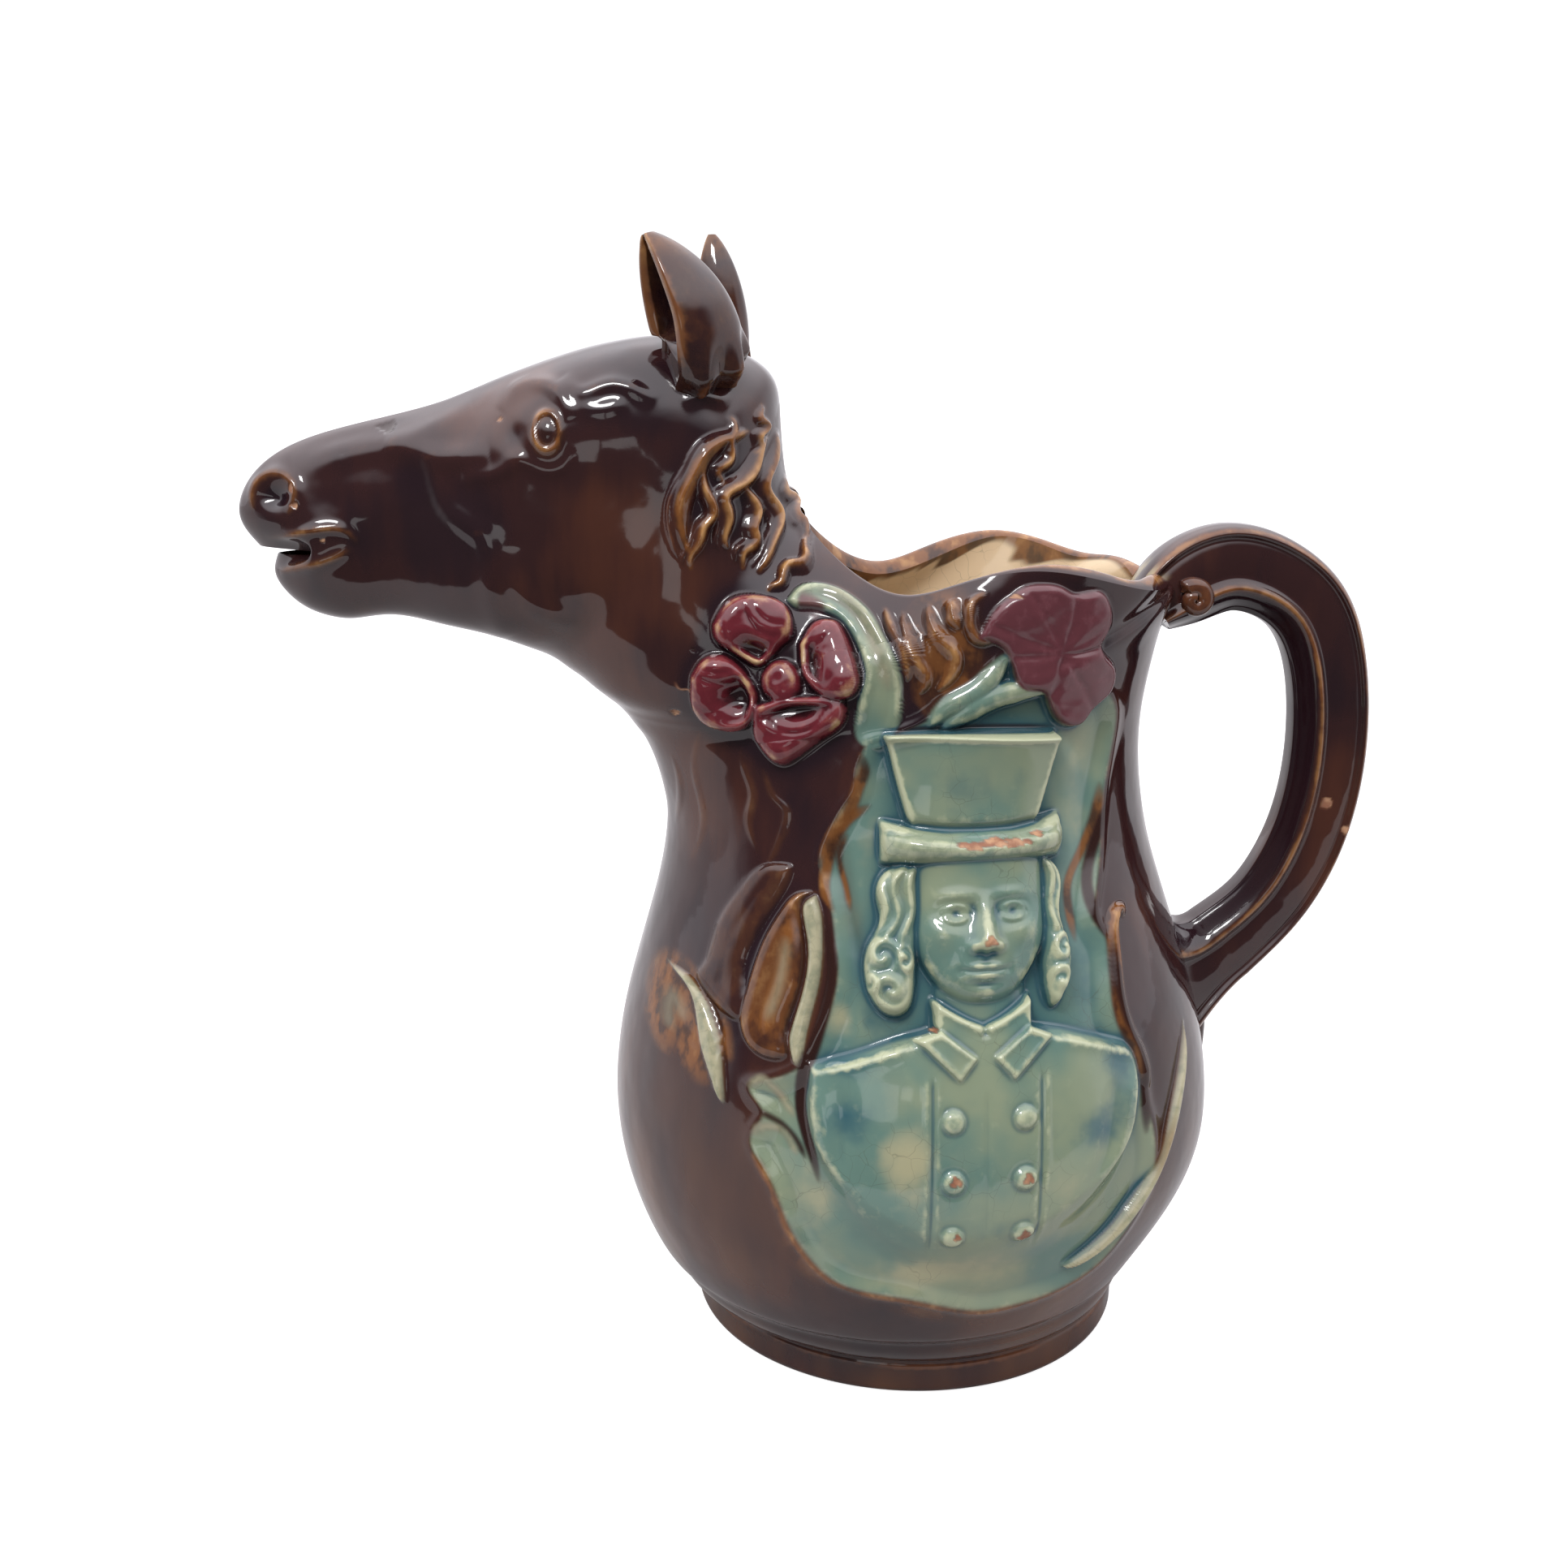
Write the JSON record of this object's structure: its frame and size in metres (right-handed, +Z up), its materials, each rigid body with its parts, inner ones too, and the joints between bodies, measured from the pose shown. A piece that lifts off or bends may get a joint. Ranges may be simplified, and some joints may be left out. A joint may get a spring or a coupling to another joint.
{
  "type": "figural pitcher",
  "caption": "Glazed earthenware pitcher: a round vessel that rises into a horse's head with an open spout, with a loop handle and a relief bust in a leafy panel.",
  "frame": {"origin": "middle of the flat base, on the ground", "axes": "+Z up, +X towards the handle, -X the way the horse looks, -Y the side with the bust"},
  "size_m": [0.2388, 0.135, 0.2338],
  "materials": {
    "pitcher": "glossy brown, aqua and plum lead glaze over buff earthenware, cream inside"
  },
  "bodies": {
    "root": {"pitcher": "pitcher"}
  },
  "joints": []
}
